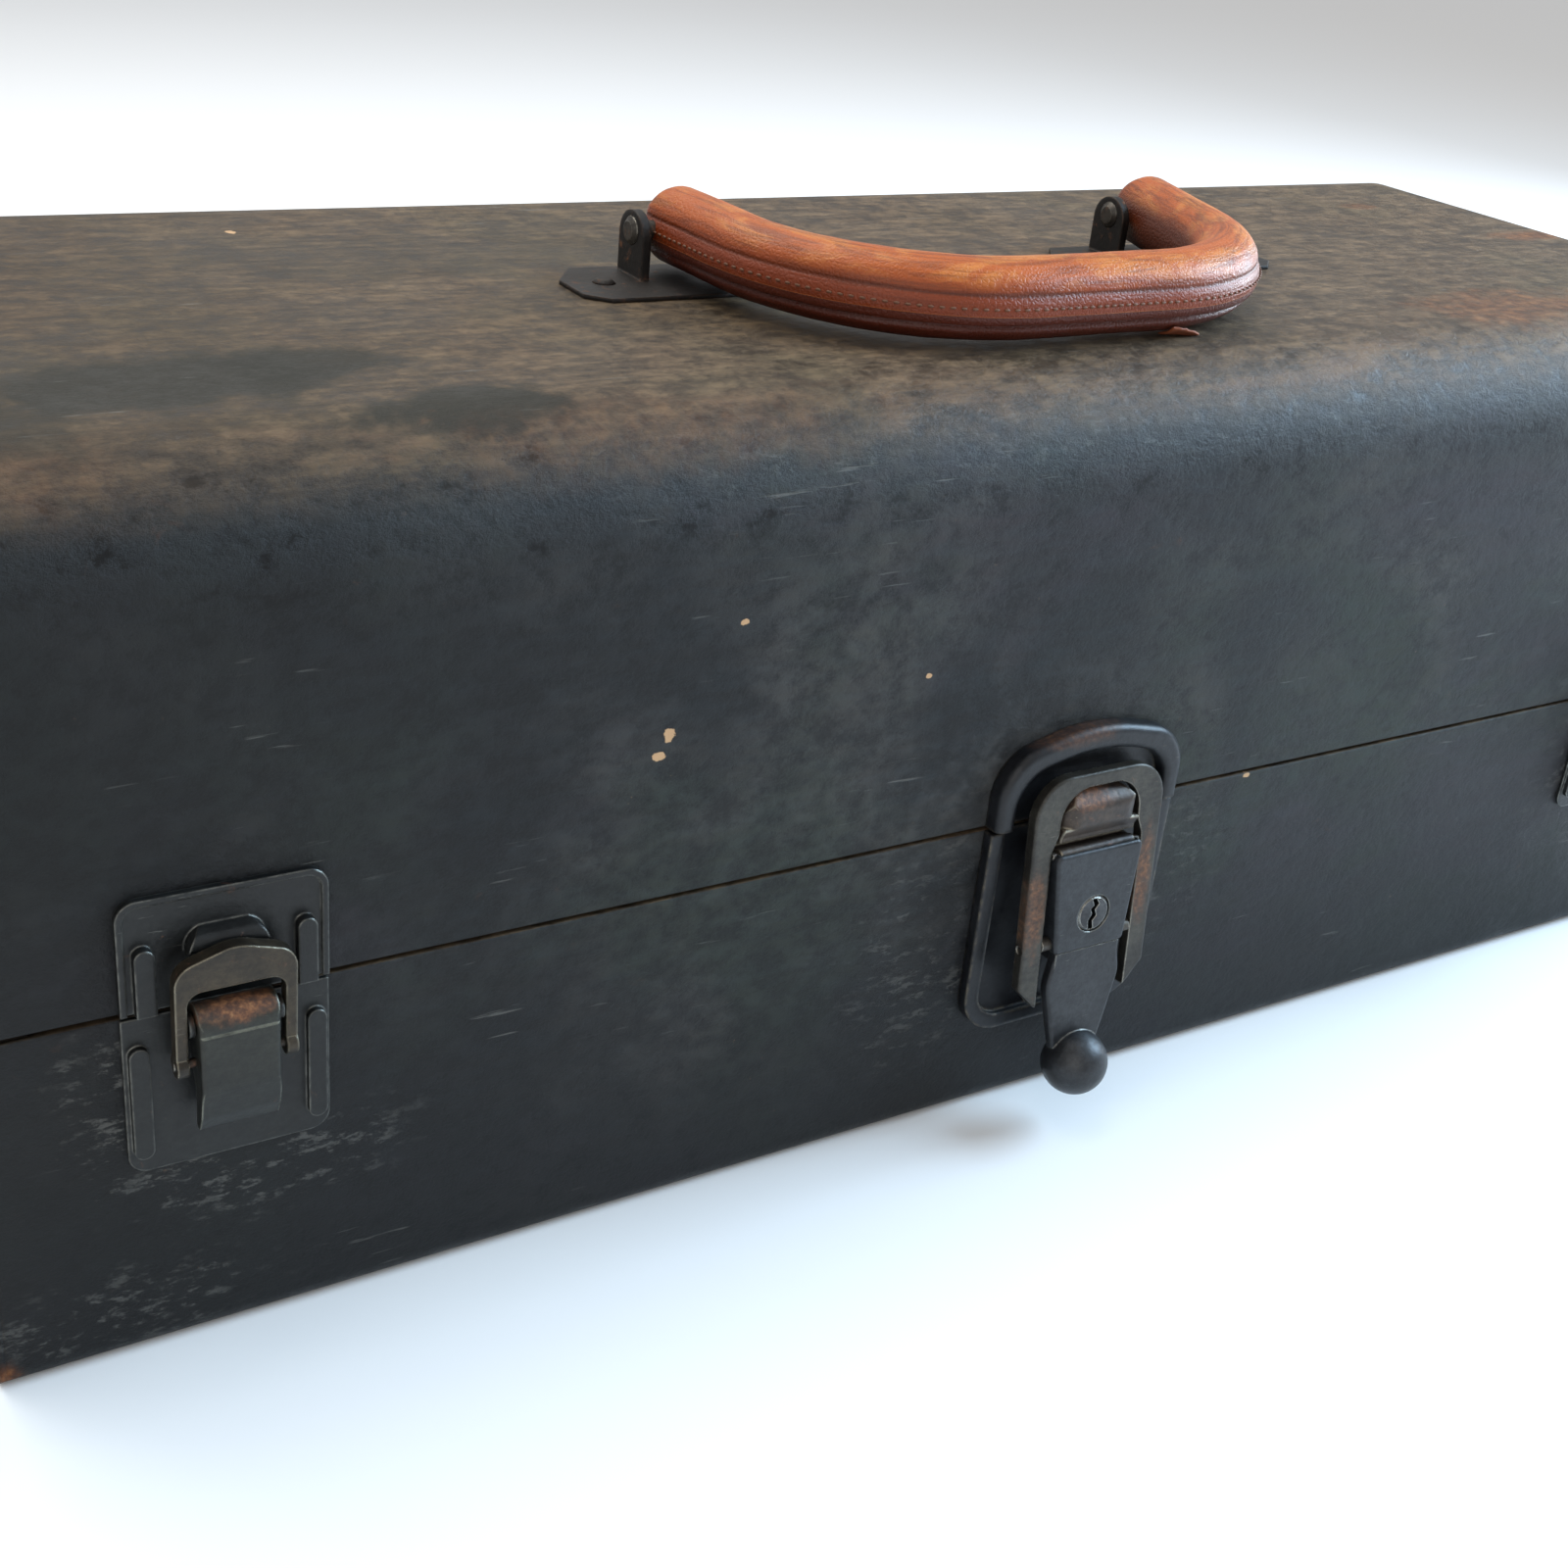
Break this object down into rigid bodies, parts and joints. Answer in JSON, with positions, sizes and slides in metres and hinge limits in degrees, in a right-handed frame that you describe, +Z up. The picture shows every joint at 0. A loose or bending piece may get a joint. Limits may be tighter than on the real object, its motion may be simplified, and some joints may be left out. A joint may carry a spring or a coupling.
{
  "type": "tool box",
  "caption": "Long sheet steel tool box with a round-shouldered hinged lid, bail latches, a locking draw latch and a swinging leather handle.",
  "frame": {"origin": "middle of the flat bottom face", "axes": "+X along the front to the right, +Y to the rear hinges, -Y the latch side, +Z up"},
  "size_m": [0.508, 0.2347, 0.208],
  "materials": {
    "shell_paint": "worn charcoal paint with brown rub marks",
    "inner_paint": "thin dark paint",
    "latch_steel": "darkened steel, worn bright on the edges, some rust",
    "keeper_steel": "darkened steel with worn rim",
    "ring_steel": "grey steel with brown rust on the legs",
    "case_steel": "gunmetal, worn edges",
    "plug_steel": "dull nickel",
    "lock_brass": "dull brass",
    "hinge_steel": "darkened zinc plate",
    "bracket_iron": "dark iron with rust",
    "grip_leather": "worn brown leather, waxed"
  },
  "bodies": {
    "body": {"body_wrap": "shell_paint", "body_end_left": "shell_paint", "body_end_right": "shell_paint", "dust_lip_front": "inner_paint", "dust_lip_left": "inner_paint", "dust_lip_right": "inner_paint", "hinge_body_leaf_left": "hinge_steel", "hinge_body_leaf_right": "hinge_steel", "hinge_rivets_body": "hinge_steel", "hinge_pin_left": "hinge_steel", "hinge_pin_right": "hinge_steel", "latch_base_left": "latch_steel", "latch_base_right": "latch_steel", "lever_pin_left": "latch_steel", "lever_pin_right": "latch_steel", "centre_base": "keeper_steel", "tongue_block": "keeper_steel"},
    "lid": {"lid_wrap": "shell_paint", "lid_end_left": "shell_paint", "lid_end_right": "shell_paint", "hinge_lid_leaf_left": "hinge_steel", "hinge_lid_leaf_right": "hinge_steel", "hinge_rivets_lid": "hinge_steel", "handle_bracket_left": "bracket_iron", "handle_bracket_right": "bracket_iron", "handle_pin_left": "bracket_iron", "handle_pin_right": "bracket_iron", "handle_rivets": "bracket_iron", "strike_plate_left": "latch_steel", "strike_plate_right": "latch_steel", "arch_keeper": "keeper_steel"},
    "handle": {"handle_core": "bracket_iron", "handle_grip": "grip_leather"},
    "lever_left": {"latch_lever_left": "latch_steel", "bail_pin_left": "latch_steel"},
    "bail_left": {"latch_bail_left": "latch_steel"},
    "lever_right": {"latch_lever_right": "latch_steel", "bail_pin_right": "latch_steel"},
    "bail_right": {"latch_bail_right": "latch_steel"},
    "centre_lever": {"lock_case": "case_steel", "lock_cylinder": "lock_brass", "lever_tail": "case_steel", "case_pin": "case_steel", "ring_axle": "case_steel"},
    "draw_ring": {"draw_ring": "ring_steel"},
    "lock_plug": {"lock_plug": "plug_steel"}
  },
  "joints": [
    {"name": "lid_hinge", "type": "hinge", "parent": "body", "child": "lid", "pos_m": [0, 0.1056, 0.082], "axis": [-1, 0, 0], "range_deg": [0, 110]},
    {"name": "handle_swing", "type": "hinge", "parent": "lid", "child": "handle", "pos_m": [0.0104, 0, 0.1983], "axis": [-1, 0, 0], "range_deg": [0, 180]},
    {"name": "left_lever", "type": "hinge", "parent": "body", "child": "lever_left", "pos_m": [-0.207, -0.1075, 0.0806], "axis": [-1, 0, 0], "range_deg": [0, 120]},
    {"name": "left_bail", "type": "hinge", "parent": "lever_left", "child": "bail_left", "pos_m": [-0.207, -0.1075, 0.0721], "axis": [-1, 0, 0], "range_deg": [-138, 0]},
    {"name": "right_lever", "type": "hinge", "parent": "body", "child": "lever_right", "pos_m": [0.207, -0.1075, 0.0806], "axis": [-1, 0, 0], "range_deg": [0, 120]},
    {"name": "right_bail", "type": "hinge", "parent": "lever_right", "child": "bail_right", "pos_m": [0.207, -0.1075, 0.0721], "axis": [-1, 0, 0], "range_deg": [-138, 0]},
    {"name": "centre_lever_swing", "type": "hinge", "parent": "body", "child": "centre_lever", "pos_m": [0, -0.1107, 0.0758], "axis": [-1, 0, 0], "range_deg": [0, 110]},
    {"name": "ring_swing", "type": "hinge", "parent": "centre_lever", "child": "draw_ring", "pos_m": [0, -0.11206, 0.05204], "axis": [-1, 0, 0], "range_deg": [-126.5, 0]},
    {"name": "plug_turn", "type": "hinge", "parent": "centre_lever", "child": "lock_plug", "pos_m": [0, -0.11455, 0.05943], "axis": [0, -0.9976, 0.0698], "range_deg": [0, 90]}
  ],
  "couplings": [
    {"joint": "left_bail", "follows": "left_lever", "ratio": -1.15},
    {"joint": "right_bail", "follows": "right_lever", "ratio": -1.15},
    {"joint": "ring_swing", "follows": "centre_lever_swing", "ratio": -1.15}
  ]
}
